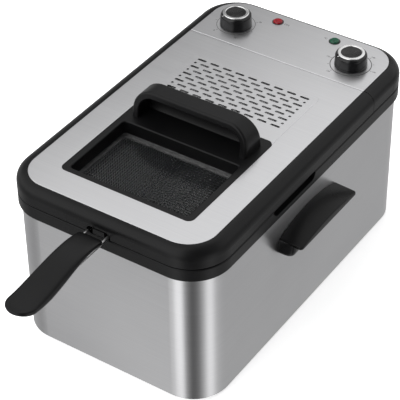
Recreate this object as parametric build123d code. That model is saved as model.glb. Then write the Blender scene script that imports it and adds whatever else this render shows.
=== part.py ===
from build123d import *
import os

# A household deep fryer with a lift-off lid, a basket, an oil pot and a control
# head that carries the immersion heating element. Millimetres, +Z is up and -Y is
# the front. Everything is drawn about the middle of the housing, standing on Z = 0,
# and written ORIGIN_SHIFT further back, so that the origin of the finished part is
# on the table under the middle of the whole object, basket handle included.

os.makedirs("parts", exist_ok=True)

# ---- driving dimensions -----------------------------------------------------

FOOT_HEIGHT = 5.0
BODY_HALF_WIDTH = 120.0
BODY_HALF_LENGTH = 202.5
BODY_CORNER = 41.0
SHEET = 1.0
THIN_SHEET = 0.8
SHEET_EDGE = 0.5

RIM_OVERHANG = 3.6
RIM_BOTTOM = 165.7
RIM_TOP = 180.3
SKIRT_BOTTOM = 181.3
TOP = 203.5
EDGE_ROUND = 12.0
PLASTIC_WALL = 3.0

PANEL_HALF_WIDTH = 109.8
PANEL_FRONT = -195.6
PANEL_BACK = 196.8
PANEL_CORNER = 32.0
SEAM_Y = 117.0
SEAM_GAP = 0.6

FRAME_HALF_WIDTH = 79.2
FRAME_FRONT = -162.9
FRAME_BACK = -11.5
WINDOW_HALF_WIDTH = 71.0
WINDOW_FRONT = -156.5
WINDOW_BACK = -63.0
GLASS_TOP = 189.2
GLASS_THICKNESS = 3.2

HANDLE_HALF_WIDTH = 70.0
HANDLE_TOP = 237.0
HANDLE_CORNER = 24.0
HANDLE_BAR = 8.0
HANDLE_ROUND = 3.0

SLOT_LENGTH = 11.0
SLOT_WIDTH = 3.0
SLOT_PITCH = 16.15
SLOT_ROWS = 9
ROW_PITCH = 7.35
FIRST_ROW_Y = 13.5

POT_HALF_WIDTH = 97.0
POT_FRONT = -182.0
POT_BACK = 140.0
POT_FLOOR = 52.0
POT_CORNER = 24.0
POT_WALL = 1.2
DECK_TOP = 175.0
FLANGE_BOTTOM = 175.4
FLANGE_TOP = 176.4

BASKET_HALF_WIDTH = 86.0
BASKET_FRONT = -172.0
BASKET_BACK = 110.0
BASKET_FLOOR = 76.0
BASKET_TOP = 173.8
BASKET_CORNER = 24.0
WIRE_RADIUS = 1.8
WIRE_SPACING = 22.6
WIRE_HEIGHT = 184.0
GRIP_BACK = -217.0
GRIP_FRONT = -340.0

KNOB_X = 73.6
KNOB_Y = 153.6
KNOB_RADIUS = 18.0
KNOB_BASE = 204.3
SHAFT_RADIUS = 3.0
RUNNING_GAP = 0.06
LAMP_X = 36.5
LAMP_Y = 182.7

ELEMENT_RADIUS = 4.0
ELEMENT_HEIGHT = 64.0
BRACKET_Y = 124.5

BOX_HALF_WIDTH = 90.0
BOX_FRONT = 152.0
BOX_BACK = 195.5

GRIP_Y_CENTRE = -10.5
GRIP_HALF_LENGTH = 55.5
GRIP_REACH = 27.0
GRIP_UNDERSIDE = 129.5
NOTCH_Y_CENTRE = -43.0

# ---- sizes worked out from them ---------------------------------------------

RIM_HALF_WIDTH = BODY_HALF_WIDTH + RIM_OVERHANG
RIM_HALF_LENGTH = BODY_HALF_LENGTH + RIM_OVERHANG
RIM_CORNER = BODY_CORNER + RIM_OVERHANG
LID_BACK = SEAM_Y - SEAM_GAP / 2
HEAD_FRONT = SEAM_Y + SEAM_GAP / 2
PANEL_BOTTOM = TOP - THIN_SHEET
ROOF_BOTTOM = TOP - PLASTIC_WALL
UNDERSIDE_BOTTOM = SKIRT_BOTTOM + 1.9
UNDERSIDE_TOP = UNDERSIDE_BOTTOM + THIN_SHEET
FLOOR_TOP = SKIRT_BOTTOM + PLASTIC_WALL
WIRE_X = WIRE_SPACING / 2
GLAND_BACK = RIM_HALF_LENGTH + 1.0
ORIGIN_SHIFT = -(GRIP_FRONT + GLAND_BACK) / 2


# ---- shapes used many times -------------------------------------------------


def block(x0, x1, y0, y1, z0, z1):
    """A plain box between two corners."""
    return Pos((x0 + x1) / 2, (y0 + y1) / 2, (z0 + z1) / 2) * Box(x1 - x0, y1 - y0, z1 - z0)


def slab(half_width, front, back, corner, bottom, top):
    """A prism with round upright corners, centred on the middle plane."""
    outline = RectangleRounded(2 * half_width, back - front, corner)
    return Pos(0, (front + back) / 2, bottom) * extrude(outline, amount=top - bottom)


def body_slab(inset, bottom, top):
    """A slab that follows the housing's outline, moved inwards by inset."""
    half_length = BODY_HALF_LENGTH - inset
    return slab(BODY_HALF_WIDTH - inset, -half_length, half_length, BODY_CORNER - inset, bottom, top)


def flat_edges(shape, height):
    """The edges of a shape that lie level at one height."""
    boxes = [(edge, edge.bounding_box()) for edge in shape.edges()]
    return [edge for edge, b in boxes if abs(b.min.Z - height) < 1e-4 and abs(b.max.Z - height) < 1e-4]


def crown(inset, bottom):
    """The rounded top of the fryer, lid and head together, moved inwards by inset."""
    half_length = RIM_HALF_LENGTH - inset
    solid = slab(RIM_HALF_WIDTH - inset, -half_length, half_length, RIM_CORNER - inset, bottom, TOP - inset)
    return fillet(solid.edges().group_by(Axis.Z)[-1], EDGE_ROUND - inset)


def rod(x, y, bottom, top, radius):
    """An upright cylinder."""
    return Pos(x, y, (bottom + top) / 2) * Cylinder(radius, top - bottom)


def rod_x(x0, x1, y, z, radius):
    """A cylinder along X."""
    return Pos((x0 + x1) / 2, y, z) * Rot(0, 90, 0) * Cylinder(radius, x1 - x0)


def rod_y(x, y0, y1, z, radius):
    """A cylinder along Y."""
    return Pos(x, (y0 + y1) / 2, z) * Rot(90, 0, 0) * Cylinder(radius, y1 - y0)


def prism_x(sketch, x0, x1):
    """A YZ outline carried from x0 to x1."""
    plane = Plane(origin=(x0, 0, 0), x_dir=(0, 1, 0), z_dir=(1, 0, 0))
    return extrude(plane * sketch, amount=x1 - x0)


def prism_y(sketch, y0, y1):
    """An XZ outline carried from y0 to y1."""
    plane = Plane(origin=(0, y1, 0), x_dir=(1, 0, 0), z_dir=(0, -1, 0))
    return extrude(plane * sketch, amount=y1 - y0)


def bent_rod(points, bend, radius):
    """A round bar along straight runs joined by bends."""
    path = FilletPolyline(*points, radius=bend)
    return sweep(Plane(origin=path @ 0, z_dir=path % 0) * Circle(radius), path=path)


def pan_screw(x, y, seat, reach, head_radius, shank_radius):
    """A screw driven upwards: its head hangs under seat, its shank goes up by reach."""
    head = rod(x, y, seat - 1.5, seat, head_radius)
    return head + rod(x, y, seat, seat + reach, shank_radius)


def both_sides(shape):
    """A shape and its mirror image across the middle plane."""
    return [shape, mirror(shape, about=Plane.YZ)]


def save(name, shape):
    """Write one sub-part in the finished part's frame; a list is kept as separate solids."""
    solids = shape if isinstance(shape, list) else [shape]
    moved = [Pos(0, ORIGIN_SHIFT, 0) * solid for solid in solids]
    export_step(moved[0] if len(moved) == 1 else Compound(children=moved), f"parts/{name}.step")


def minus(shape, tools):
    """Cut each tool from shape."""
    for tool in tools:
        shape = shape - tool
    return shape


# ---- housing ----------------------------------------------------------------

FOOT_PLACES = [(x, y) for x in (-88, 88) for y in (-170, 170)]
BASE_SCREW_PLACES = [(x, y) for x in (-113, 113) for y in (-100, 100)]
BASE_SCREW_PLACES += [(x, y) for x in (-50, 50) for y in (-195.5, 195.5)]
DECK_SCREW_PLACES = [(x, y) for x in (-111.5, 111.5) for y in (-140, -15, 110)]
TRAY_BOTTOM = FOOT_HEIGHT + SHEET
TRAY_TOP = TRAY_BOTTOM + 2.5
SHELL_TOP = 171.7
DECK_BOTTOM = 172.0
LINER_HALF_WIDTH = 108.0
LINER_FRONT = -193.0
LINER_BACK = 148.5
GRIP_SCREW_PLACES = [(GRIP_Y_CENTRE + side * 44.5, 122.0) for side in (-1, 1)]


def make_body_shell():
    """The drawn stainless housing with a flange turned in at its bottom edge."""
    shell = body_slab(0, FOOT_HEIGHT, SHELL_TOP) - body_slab(SHEET, TRAY_BOTTOM, TOP)
    shell -= body_slab(12.0, 0, TRAY_TOP)
    shell = minus(shell, [rod(x, y, 0, TRAY_TOP, 1.8) for x, y in BASE_SCREW_PLACES])
    return minus(shell, [rod_x(-130, 130, y, z, 2.1) for y, z in GRIP_SCREW_PLACES])


def make_base_tray():
    """The moulded bottom plate, with foot holes, ribs and cooling slots."""
    tray = body_slab(1.2, TRAY_BOTTOM, TRAY_TOP)
    for y in (-150, -90, -30, 30, 90, 130):
        tray += block(-100, 100, y - 1, y + 1, TRAY_TOP, TRAY_TOP + 6)
    tray = minus(tray, [rod(x, y, 0, 20, 4.0) for x, y in FOOT_PLACES])
    tray = minus(tray, [rod(x, y, 0, 20, 1.7) for x, y in BASE_SCREW_PLACES])
    for y in (-60, 0, 60):
        for x in (-60, -36, -12, 12, 36, 60):
            tray -= Pos(x, y, 0) * extrude(SlotOverall(16, 4), amount=20)
    return tray


def make_rubber_foot(x, y):
    """A foot pushed through the tray: pad, neck and snap head."""
    pad = fillet(rod(x, y, 0, TRAY_BOTTOM, 11.0).edges().sort_by(Axis.Z)[0], 1.0)
    return pad + rod(x, y, TRAY_BOTTOM, TRAY_TOP, 4.0) + rod(x, y, TRAY_TOP, TRAY_TOP + 2, 6.0)


def make_top_rim():
    """The black rim: a band round the housing and the deck that carries the pot."""
    rim = body_slab(-RIM_OVERHANG, RIM_BOTTOM, RIM_TOP)
    rim = fillet(flat_edges(rim, RIM_BOTTOM) + flat_edges(rim, RIM_TOP), 1.5)
    rim -= body_slab(-0.05, 0, DECK_BOTTOM)
    rim -= body_slab(SHEET * 3, DECK_TOP, TOP)
    rim -= slab(99.5, -184.5, 142.5, 26.5, 0, TOP)
    rim -= slab(BOX_HALF_WIDTH + 2, BOX_FRONT - 2, BOX_BACK + 2, 4.0, 0, TOP)
    notch = Pos(NOTCH_Y_CENTRE, 185.0) * RectangleRounded(80, 25, 8)
    for shape in both_sides(prism_x(notch, BODY_HALF_WIDTH - 1.4, BODY_HALF_WIDTH + 10)):
        rim -= shape
    return minus(rim, [rod(x, y, 0, TOP, 1.7) for x, y in DECK_SCREW_PLACES])


def make_inner_liner():
    """The sheet-steel heat shield between pot and housing, hung from the deck."""
    liner = slab(LINER_HALF_WIDTH, LINER_FRONT, LINER_BACK, 33, TRAY_TOP + 6, DECK_BOTTOM)
    liner += slab(LINER_HALF_WIDTH + 8, LINER_FRONT - 5, LINER_BACK, 34, DECK_BOTTOM - SHEET, DECK_BOTTOM)
    liner -= slab(LINER_HALF_WIDTH - SHEET, LINER_FRONT + SHEET, LINER_BACK - SHEET, 32, 0, TOP)
    return minus(liner, [rod(x, y, 0, TOP, 1.6) for x, y in DECK_SCREW_PLACES])


def make_deck_screw(x, y):
    """A screw down through the deck into the liner's flange."""
    return rod(x, y, DECK_TOP, DECK_TOP + 1.8, 3.0) + rod(x, y, 165, DECK_TOP, 1.6)


def make_side_handle():
    """The right carrying handle: an arched grip on two bosses."""

    def section(x, end_height, middle_height):
        y0 = GRIP_Y_CENTRE - GRIP_HALF_LENGTH
        y1 = GRIP_Y_CENTRE + GRIP_HALF_LENGTH
        arch = ThreePointArc((y0, end_height), (GRIP_Y_CENTRE, middle_height), (y1, end_height))
        sides = Polyline((y1, end_height), (y1, GRIP_UNDERSIDE), (y0, GRIP_UNDERSIDE), (y0, end_height))
        plane = Plane(origin=(x, 0, 0), x_dir=(0, 1, 0), z_dir=(1, 0, 0))
        return plane * make_face([arch, sides])

    inner_x = BODY_HALF_WIDTH + 0.05
    outer_x = BODY_HALF_WIDTH + GRIP_REACH
    grip = loft([section(inner_x, 134.0, 143.5), section(outer_x, 132.5, 138.0)])
    plan = RectangleRounded(2 * GRIP_REACH, 2 * GRIP_HALF_LENGTH, 4)
    grip &= Pos(BODY_HALF_WIDTH, GRIP_Y_CENTRE, 100) * extrude(plan, amount=60)
    for y, z in GRIP_SCREW_PLACES:
        boss = prism_x(Pos(y, 126) * RectangleRounded(22, 26, 9), inner_x, BODY_HALF_WIDTH + 18)
        boss -= block(100, 160, -100, 100, GRIP_UNDERSIDE + 1, 150)
        grip += boss
        grip -= rod_x(100, 133, y, z, 2.0)
    return grip


def make_grip_screw(y, z):
    """A screw from inside the housing into a handle boss."""
    return rod_x(117.4, 119.0, y, z, 4.0) + rod_x(119.0, 132, y, z, 2.0)


save("body_shell", make_body_shell())
save("base_tray", make_base_tray())
save("rubber_feet", [make_rubber_foot(x, y) for x, y in FOOT_PLACES])
save("base_screws", [pan_screw(x, y, FOOT_HEIGHT, 6.0, 3.2, 1.7) for x, y in BASE_SCREW_PLACES])
save("top_rim", make_top_rim())
save("inner_liner", make_inner_liner())
save("deck_screws", [make_deck_screw(x, y) for x, y in DECK_SCREW_PLACES])
right_handle, left_handle = both_sides(make_side_handle())
save("side_handle_right", right_handle)
save("side_handle_left", left_handle)
save("side_handle_screws", [s for y, z in GRIP_SCREW_PLACES for s in both_sides(make_grip_screw(y, z))])


# ---- oil pot ----------------------------------------------------------------


def pot_slab(inset, bottom, top):
    """A slab that follows the pot's inner wall, moved inwards by inset."""
    return slab(POT_HALF_WIDTH - inset, POT_FRONT + inset, POT_BACK - inset, POT_CORNER - inset, bottom, top)


def make_oil_pot():
    """The drawn oil pot with its flange and a rolled edge."""
    inside = pot_slab(0, POT_FLOOR, TOP)
    inside = fillet(inside.edges().group_by(Axis.Z)[0], 12.0)
    outside = pot_slab(-POT_WALL, POT_FLOOR - POT_WALL, FLANGE_TOP)
    outside = fillet(outside.edges().group_by(Axis.Z)[0], 12.0 + POT_WALL)
    flange = slab(107.0, -192.0, 148.0, 30.0, FLANGE_BOTTOM, FLANGE_TOP)
    edge = slab(107.0, -192.0, 148.0, 30.0, FLANGE_TOP, 178.0) - slab(105.8, -190.8, 146.8, 28.8, 0, TOP)
    return outside + flange + edge - inside


save("oil_pot", make_oil_pot())


# ---- control head -----------------------------------------------------------

BOX_BOTTOM = 98.5
BOX_WALL = 2.5
BOX_SCREW_PLACES = [(x, y) for x in (-84.5, 84.5) for y in (157.5, 190.0)]
BUTTON_RADIUS = 3.5
BUTTON_HEIGHT = 192.0
GLAND_X = -40.0
GLAND_HEIGHT = 188.4
GLAND_RADIUS = 5.2
LEG_X = 14.0
LEG_Y = BRACKET_Y + 1.5 + ELEMENT_RADIUS
BULB_X = 40.0
BULB_RADIUS = 3.0
BULB_Y = BRACKET_Y - BULB_RADIUS
SWITCH_AXES = [(-KNOB_X, KNOB_Y), (KNOB_X, KNOB_Y)]
LAMP_PLACES = [(-LAMP_X, LAMP_Y), (LAMP_X, LAMP_Y)]


def behind_seam(shape):
    """The stretch of a shape that belongs to the control head."""
    return shape & block(-200, 200, HEAD_FRONT, 300, 0, 300)


def make_head_housing():
    """The head's moulding: crown, floor over the pot and the box behind it."""
    outside = crown(0, SKIRT_BOTTOM)
    housing = behind_seam(fillet(flat_edges(outside, SKIRT_BOTTOM), 1.0))
    hollow = crown(PLASTIC_WALL, FLOOR_TOP)
    housing -= hollow & block(-200, 200, HEAD_FRONT + PLASTIC_WALL, 300, 0, 300)
    housing += block(-BOX_HALF_WIDTH, BOX_HALF_WIDTH, BOX_FRONT, BOX_BACK, BOX_BOTTOM, SKIRT_BOTTOM)
    inner_half = BOX_HALF_WIDTH - BOX_WALL
    housing -= block(-inner_half, inner_half, BOX_FRONT + BOX_WALL, BOX_BACK - BOX_WALL, BOX_BOTTOM, FLOOR_TOP)
    for x, y in BOX_SCREW_PLACES:
        housing += rod(x, y, BOX_BOTTOM, BOX_BOTTOM + 14, 4.0) - rod(x, y, 0, BOX_BOTTOM + 12, 1.5)
    housing -= slab(PANEL_HALF_WIDTH, PANEL_FRONT, PANEL_BACK, PANEL_CORNER, PANEL_BOTTOM, TOP + 5)
    housing = minus(housing, [rod(x, y, ROOF_BOTTOM - 1, TOP, 5.05) for x, y in SWITCH_AXES])
    housing = minus(housing, [rod(x, y, ROOF_BOTTOM - 1, TOP, 4.05) for x, y in LAMP_PLACES])
    housing = minus(housing, [rod(x, LEG_Y, 0, FLOOR_TOP + 1, 4.1) for x in (-LEG_X, LEG_X)])
    housing -= rod(BULB_X, BULB_Y, 0, FLOOR_TOP + 1, 1.1)
    housing -= rod_y(0, 195, 220, BUTTON_HEIGHT, BUTTON_RADIUS + RUNNING_GAP)
    return housing - rod_y(GLAND_X, 195, 220, GLAND_HEIGHT, GLAND_RADIUS)


def make_control_panel():
    """The stainless top of the head, with its shaft and lamp holes."""
    sheet = slab(PANEL_HALF_WIDTH, PANEL_FRONT, PANEL_BACK, PANEL_CORNER, PANEL_BOTTOM, TOP)
    sheet = behind_seam(sheet)
    sheet = fillet(flat_edges(sheet, TOP), SHEET_EDGE)
    sheet = minus(sheet, [rod(x, y, 190, 210, 5.05) for x, y in SWITCH_AXES])
    return minus(sheet, [rod(x, y, 190, 210, 4.05) for x, y in LAMP_PLACES])


def make_bottom_cover():
    """The screwed cover under the head's box."""
    cover = block(-BOX_HALF_WIDTH, BOX_HALF_WIDTH, BOX_FRONT, BOX_BACK, BOX_BOTTOM - 2.5, BOX_BOTTOM)
    return minus(cover, [rod(x, y, 0, 120, 1.6) for x, y in BOX_SCREW_PLACES])


def make_switch_body(x, y):
    """A rotary timer or thermostat with its threaded bushing."""
    body = rod(x, y, FLOOR_TOP + 0.7, 199.0, 19.0) + rod(x, y, 199.0, 206.0, 5.0)
    return body - rod(x, y, 190.0, 210.0, SHAFT_RADIUS + RUNNING_GAP)


def make_lamp_lens(x, y):
    """A domed signal lens on its stem."""
    dome = rod(x, y, TOP, TOP + 2.4, 5.4)
    dome = fillet(dome.edges().sort_by(Axis.Z)[-1], 2.0)
    return dome + rod(x, y, 192.0, TOP, 4.0)


def make_lamp_holder(x, y):
    """The socket that a signal lamp's stem stands in."""
    return rod(x, y, FLOOR_TOP + 1, 198.0, 6.0) - rod(x, y, 192.0, 210, 4.0)


def make_heating_element():
    """One bent tube: two legs down the bracket and a double hairpin in the oil."""
    outer_x, inner_x = 75.0, 30.0
    near_y, far_y, inner_y = 100.0, -150.0, 62.0
    z = ELEMENT_HEIGHT
    half = [(LEG_X, LEG_Y, 192.0), (LEG_X, LEG_Y, z), (LEG_X, near_y, z), (outer_x, near_y, z)]
    half += [(outer_x, far_y, z), (inner_x, far_y, z), (inner_x, inner_y, z)]
    other = [(-x, y, height) for x, y, height in reversed(half)]
    return bent_rod(half + other, 10.0, ELEMENT_RADIUS)


def make_element_bracket():
    """The plate that holds the element's legs against the pot's back wall."""
    plate = block(-55, 55, BRACKET_Y, BRACKET_Y + 1.5, 74, SKIRT_BOTTOM)
    plate += block(-55, 55, BRACKET_Y, 139, SKIRT_BOTTOM - 1.5, SKIRT_BOTTOM)
    for z in (95, 120, 145):
        window = Pos(0, z) * RectangleRounded(16, 14, 4)
        plate -= prism_y(window, BRACKET_Y - 5, BRACKET_Y + 5)
    return minus(plate, [rod(x, LEG_Y, 170, 190, 4.1) for x in (-LEG_X, LEG_X)])


def make_capillary():
    """The thin tube from the bulb up to the thermostat."""
    points = [(BULB_X, BULB_Y, 150), (BULB_X, BULB_Y, 190), (BULB_X, 140, 190), (54.5, 150, 190)]
    return bent_rod(points, 4.0, 1.0)


def make_bulb_clip():
    """A spring clip round the bulb, riveted to the bracket."""
    clip = block(BULB_X - 5, BULB_X + 5, BRACKET_Y - 7, BRACKET_Y, 110, 116)
    clip -= block(BULB_X - 2, BULB_X + 2, BULB_Y, BRACKET_Y + 1, 100, 120)
    return clip - rod(BULB_X, BULB_Y, 100, 120, BULB_RADIUS)


def make_reset_button():
    """The overheat reset button in the back wall."""
    button = rod_y(0, 194.3, 206.0, BUTTON_HEIGHT, BUTTON_RADIUS)
    return button + rod_y(0, 194.3, 196.0, BUTTON_HEIGHT, BUTTON_RADIUS + 1.5)


def make_cord_gland():
    """The bush in the back wall that a mains lead passes through."""
    gland = rod_y(GLAND_X, 199.0, RIM_HALF_LENGTH, GLAND_HEIGHT, GLAND_RADIUS)
    gland += rod_y(GLAND_X, RIM_HALF_LENGTH, GLAND_BACK, GLAND_HEIGHT, GLAND_RADIUS + 1)
    return gland - rod_y(GLAND_X, 190, 220, GLAND_HEIGHT, 4.0)


save("head_housing", make_head_housing())
save("control_panel", make_control_panel())
save("head_bottom_cover", make_bottom_cover())
save("head_cover_screws", [pan_screw(x, y, BOX_BOTTOM - 2.5, 12.0, 3.0, 1.5) for x, y in BOX_SCREW_PLACES])
save("timer_mechanism", make_switch_body(*SWITCH_AXES[0]))
save("thermostat_body", make_switch_body(*SWITCH_AXES[1]))
save("red_lamp_lens", make_lamp_lens(*LAMP_PLACES[0]))
save("green_lamp_lens", make_lamp_lens(*LAMP_PLACES[1]))
save("lamp_holders", [make_lamp_holder(x, y) for x, y in LAMP_PLACES])
save("heating_element", make_heating_element())
save("element_bracket", make_element_bracket())
save("thermostat_bulb", rod(BULB_X, BULB_Y, 82, 150, BULB_RADIUS))
save("capillary_tube", make_capillary())
save("bulb_clip", make_bulb_clip())
save("thermal_cutout", block(-10, 10, 178, 191.5, 186, 198))
save("reset_button", make_reset_button())
save("terminal_block", block(-25, 25, 160, 172, 110, 124))
save("interlock_switch", block(50, 72, 160, 170, 101, 112))
save("cord_gland", make_cord_gland())


# ---- knobs ------------------------------------------------------------------


def make_knob(x, y):
    """The knob's moulding: a cup on a hub, with a seat for ring and cap."""
    side = Line((KNOB_RADIUS, 0), (17.4, 11.2))
    shoulder = RadiusArc((17.4, 11.2), (15.0, 14.4), -4.0)
    rest = Polyline((15.0, 14.4), (0, 14.4), (0, 0), (KNOB_RADIUS, 0))
    profile = Plane.XZ * make_face([side, shoulder, rest])
    knob = Pos(x, y, KNOB_BASE) * revolve(profile, Axis.Z)
    knob -= rod(x, y, 200, KNOB_BASE + 10.4, 15.4) - rod(x, y, KNOB_BASE + 2.7, 230, 6.0)
    knob -= rod(x, y, 200, KNOB_BASE + 11.5, SHAFT_RADIUS)
    return knob - rod(x, y, KNOB_BASE + 13.0, 230, 11.2)


def make_knob_ring(x, y):
    """The bright ring let into the knob's top."""
    ring = rod(x, y, KNOB_BASE + 14.4, KNOB_BASE + 15.4, 14.8) - rod(x, y, 200, 230, 11.2)
    return fillet(ring.edges().group_by(Axis.Z)[-1], 0.8)


def make_knob_cap(x, y):
    """The dished disc in the middle of the knob's top."""
    disc = rod(x, y, KNOB_BASE + 13.0, KNOB_BASE + 14.6, 11.2)
    return disc - Pos(x, y, KNOB_BASE + 13.4 + 60) * Sphere(60)


for name, (x, y) in zip(("timer", "thermostat"), SWITCH_AXES):
    save(f"{name}_knob", make_knob(x, y))
    save(f"{name}_knob_ring", make_knob_ring(x, y))
    save(f"{name}_knob_cap", make_knob_cap(x, y))
    save(f"{name}_shaft", rod(x, y, 190.3, KNOB_BASE + 11.5, SHAFT_RADIUS))


# ---- lid --------------------------------------------------------------------

VENT_BACK = 81.0
LID_SCREW_PLACES = [(x, y) for x in (-112, 112) for y in (-120, -20, 80)]
LID_SCREW_PLACES += [(-60, -197), (60, -197)]
HANDLE_SCREW_PLACES = [(-66, -38), (66, -38)]
FRAME_TOP = TOP + 0.4
SEAL_BOTTOM = GLASS_TOP - GLASS_THICKNESS - 2.0


def before_seam(shape, back=LID_BACK):
    """The stretch of a shape that belongs to the lid."""
    return shape & block(-200, 200, -300, back, 0, 300)


def wire_slots(bottom, top, back):
    """Room for the basket's two handle wires under the lid's front edge."""
    return both_sides(block(WIRE_X - 3.2, WIRE_X + 3.2, -210, back, bottom, top))


def make_lid_trim():
    """The lid's black moulding, hollow from below."""
    outside = crown(0, SKIRT_BOTTOM)
    trim = before_seam(fillet(flat_edges(outside, SKIRT_BOTTOM), 1.0))
    trim -= before_seam(crown(PLASTIC_WALL, 150), LID_BACK - PLASTIC_WALL)
    for x, y in LID_SCREW_PLACES:
        trim += rod(x, y, UNDERSIDE_TOP, ROOF_BOTTOM, 4.0)
        trim -= rod(x, y, 0, ROOF_BOTTOM - 2, 1.5)
    trim -= slab(PANEL_HALF_WIDTH, PANEL_FRONT, PANEL_BACK, PANEL_CORNER, PANEL_BOTTOM, TOP + 5)
    trim -= slab(74.5, -160.0, -13.0, 5.0, 190, 210)
    trim -= slab(74.0, 9.0, 77.0, 4.0, 190, 210)
    arch = Pos(0, 181.0) * RectangleRounded(28.4, 16.4, 5)
    trim -= prism_y(arch, -210, -202)
    trim += block(-6.8, 6.8, -205.8, -202, SKIRT_BOTTOM, 187.4)
    return trim + block(-3, 3, -202, -190, SKIRT_BOTTOM + 6, ROOF_BOTTOM)


def vent_slots():
    """Nine rows of slots, every second row moved by half a pitch, with end dots."""
    pattern = Sketch()
    for row in range(SLOT_ROWS):
        y = FIRST_ROW_Y + row * ROW_PITCH
        shifted = row % 2
        for i in range(SLOT_ROWS - shifted):
            pattern += Pos((i - (8 - shifted) / 2) * SLOT_PITCH, y) * SlotOverall(SLOT_LENGTH, SLOT_WIDTH)
        if shifted:
            pattern += [Pos(side * 68.7, y) * Circle(SLOT_WIDTH / 2) for side in (-1, 1)]
    return Pos(0, 0, 195) * extrude(pattern, amount=15)


def make_lid_panel():
    """The stainless skin of the lid, with the raised vent field."""
    sheet = slab(PANEL_HALF_WIDTH, PANEL_FRONT, PANEL_BACK, PANEL_CORNER, PANEL_BOTTOM, TOP)
    plate_room = slab(FRAME_HALF_WIDTH, FRAME_FRONT, FRAME_BACK, 7.0, 195, 210)
    sheet = before_seam(sheet) - plate_room
    sheet = fillet(flat_edges(sheet, TOP), SHEET_EDGE)
    field = slab(78.5, FRAME_BACK - 10, VENT_BACK, 5.0, PANEL_BOTTOM + 0.2, TOP + 0.5)
    field = fillet(flat_edges(field, TOP + 0.5), 0.4) - plate_room
    return sheet + field - vent_slots()


def make_window_frame():
    """The black plate with the well of the window."""
    frame = slab(FRAME_HALF_WIDTH, FRAME_FRONT, FRAME_BACK, 7.0, PANEL_BOTTOM, FRAME_TOP)
    frame += slab(74.0, WINDOW_FRONT - 3, WINDOW_BACK + 3, 6.0, GLASS_TOP, PANEL_BOTTOM)
    frame += slab(71.0, -56.0, -16.0, 4.0, 197, PANEL_BOTTOM)
    frame = fillet(flat_edges(frame, FRAME_TOP), 0.3)
    frame -= slab(WINDOW_HALF_WIDTH, WINDOW_FRONT, WINDOW_BACK, 4.0, 180, 210)
    opening = [edge for edge in flat_edges(frame, FRAME_TOP) if WINDOW_FRONT - 1 < edge.center().Y < WINDOW_BACK + 1]
    opening = [edge for edge in opening if abs(edge.center().X) < WINDOW_HALF_WIDTH + 1]
    frame = fillet(opening, 1.5)
    return minus(frame, [rod(x, y, 190, 210, 1.6) for x, y in HANDLE_SCREW_PLACES])


def make_lid_handle():
    """The arched lid handle: a bar on two ends, closed at the back."""
    profile = Pos(0, HANDLE_TOP - 40) * RectangleRounded(2 * HANDLE_HALF_WIDTH, 80, HANDLE_CORNER)
    lean = make_face(Polyline((-52, FRAME_TOP), (-46, HANDLE_TOP), (-25, HANDLE_TOP), (-21, FRAME_TOP), close=True))
    handle = prism_y(profile, -60, -10) & prism_x(lean, -80, 80)
    arches = [edge for edge in handle.edges() if edge.center().Z > FRAME_TOP + 0.1]
    handle = fillet([edge for edge in arches if not -44 < edge.center().Y < -27], HANDLE_ROUND)
    inner_top = HANDLE_TOP - HANDLE_BAR
    inner = Pos(0, inner_top - 40) * RectangleRounded(2 * (HANDLE_HALF_WIDTH - HANDLE_BAR), 80, 16)
    back = ThreePointArc((-30, FRAME_TOP), (-27.5, 214), (-33, inner_top + 1))
    mouth = Polyline((-33, inner_top + 1), (-70, inner_top + 1), (-70, FRAME_TOP), (-30, FRAME_TOP))
    pocket = prism_y(inner, -70, -10) & prism_x(make_face([back, mouth]), -80, 80)
    handle -= pocket
    lip = [edge for edge in handle.edges() if edge.center().Z > FRAME_TOP + 3 and edge.center().Y < -45]
    lip = [edge for edge in lip if abs(edge.center().X) < HANDLE_HALF_WIDTH - HANDLE_BAR + 0.5]
    handle = fillet([edge for edge in lip if edge.center().Z < inner_top + 0.5], 1.5)
    return minus(handle, [rod(x, y, 190, 212, 1.5) for x, y in HANDLE_SCREW_PLACES])


def make_window_glass():
    """The toughened pane under the well."""
    bottom = GLASS_TOP - GLASS_THICKNESS
    return slab(73.0, WINDOW_FRONT - 2, WINDOW_BACK + 2, 5.0, bottom, GLASS_TOP)


def make_window_seal():
    """The silicone seal round the pane, with a lip under it."""
    seal = slab(76.0, WINDOW_FRONT - 5, WINDOW_BACK + 5, 8.0, SEAL_BOTTOM, GLASS_TOP)
    seal -= slab(73.0, WINDOW_FRONT - 2, WINDOW_BACK + 2, 5.0, GLASS_TOP - GLASS_THICKNESS, 210)
    return seal - slab(69.0, WINDOW_FRONT + 2, WINDOW_BACK - 2, 3.0, 150, 210)


def make_lid_underside():
    """The stainless inner skin of the lid, screwed to the trim."""
    half_length = RIM_HALF_LENGTH - PLASTIC_WALL - 0.3
    half_width = RIM_HALF_WIDTH - PLASTIC_WALL - 0.3
    sheet = slab(half_width, -half_length, half_length, RIM_CORNER - 3.3, UNDERSIDE_BOTTOM, UNDERSIDE_TOP)
    sheet = before_seam(sheet, LID_BACK - PLASTIC_WALL - 0.3)
    sheet -= slab(69.0, WINDOW_FRONT + 2, WINDOW_BACK - 2, 3.0, 150, 210)
    sheet -= slab(68.0, 16.0, 70.0, 3.0, 150, 210)
    sheet = minus(sheet, wire_slots(180, 190, -170))
    sheet -= block(-20, 20, -210, -201.5, 150, 210)
    return minus(sheet, [rod(x, y, 150, 210, 1.6) for x, y in LID_SCREW_PLACES])


def make_lid_gasket():
    """The silicone lip that closes the lid on the pot's flange."""
    lip = slab(103.0, -188.0, 145.0, 27.0, FLANGE_TOP + 0.7, UNDERSIDE_BOTTOM)
    lip -= slab(100.5, -185.5, 142.5, 24.5, 0, TOP)
    return minus(before_seam(lip, LID_BACK - PLASTIC_WALL - 1), wire_slots(181.0, 190, -170))


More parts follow.
